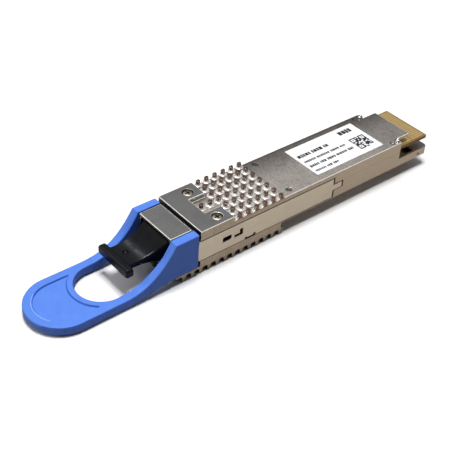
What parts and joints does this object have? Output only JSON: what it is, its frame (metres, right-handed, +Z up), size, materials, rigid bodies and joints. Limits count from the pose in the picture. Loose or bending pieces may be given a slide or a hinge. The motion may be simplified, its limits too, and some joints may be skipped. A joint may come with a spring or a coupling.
{
  "type": "optical transceiver module",
  "caption": "Pluggable optical transceiver module with a metal shell, pin-fin heat sinks, a blue pull tab, a plugged fibre port and a gold card edge.",
  "frame": {"origin": "bottom centre of the whole module with its pull tab, on the plane of the lower pin tips", "axes": "+Y from the pull tab to the card edge, +Z up through the lid, +X to the right seen from the pull tab"},
  "size_m": [0.0192, 0.1322, 0.0135],
  "materials": {
    "nickel_casting": "nickel-plated die casting, satin, fine grain",
    "stamped_steel": "stamped stainless strip, satin",
    "bright_steel": "bright turned steel",
    "blue_polymer": "moulded elastomer, fine matte texture",
    "black_rubber": "soft black moulding with a low sheen",
    "black_plastic": "moulded black plastic",
    "ferrule_resin": "glass-filled ferrule resin, polished end",
    "ribbon_jacket": "coated fibre ribbon",
    "glass": "polished glass block",
    "silicon": "bare silicon die",
    "copper_alloy": "copper-tungsten, ground",
    "gold": "gold plating, satin",
    "board_green": "green solder mask",
    "chip_black": "moulded chip package",
    "ferrite": "pressed ferrite",
    "brushed_can": "brushed metal can",
    "thermal_pad": "soft thermal pad",
    "label_film": "white film label",
    "gasket_black": "conductive elastomer"
  },
  "bodies": {
    "module_body": {"lower_housing": "nickel_casting", "upper_housing": "nickel_casting", "return_spring_right": "bright_steel", "return_spring_left": "bright_steel", "mpo_receptacle": "black_plastic", "mt_ferrule": "ferrule_resin", "guide_pin_right": "bright_steel", "guide_pin_left": "bright_steel", "pin_clamp": "bright_steel", "receptacle_retainer": "stamped_steel", "fibre_ribbon": "ribbon_jacket", "fibre_array": "glass", "photonic_chip": "silicon", "laser_right": "gold", "laser_left": "gold", "optics_carrier": "copper_alloy", "thermal_pad_bench": "thermal_pad", "main_board": "board_green", "contact_strips_top": "gold", "contact_strips_bottom": "gold", "signal_processor": "chip_black", "thermal_pad_processor": "thermal_pad", "modulator_driver": "silicon", "receiver_amplifier": "silicon", "microcontroller": "chip_black", "clock_oscillator": "brushed_can", "power_regulator": "chip_black", "power_inductor_left": "ferrite", "power_inductor_middle": "ferrite", "power_inductor_right": "ferrite", "front_screw_right": "bright_steel", "front_screw_left": "bright_steel", "mid_screw_right": "bright_steel", "mid_screw_left": "bright_steel", "rear_rivet_right": "bright_steel", "rear_rivet_left": "bright_steel", "label": "label_film", "emi_gasket": "gasket_black"},
    "release_tab": {"pull_tab": "blue_polymer", "latch_arm_right": "stamped_steel", "latch_arm_left": "stamped_steel"},
    "port_plug": {"dust_plug": "black_rubber"}
  },
  "joints": [
    {"name": "pull_slide", "type": "slide", "parent": "module_body", "child": "release_tab", "axis": [0, -1, 0], "range_m": [0, 0.0025], "stiffness_N_per_m": 1500, "deforming": ["return_spring_right", "return_spring_left"]},
    {"name": "plug_slide", "type": "slide", "parent": "module_body", "child": "port_plug", "axis": [0, -1, 0], "range_m": [0, 0.05]}
  ]
}
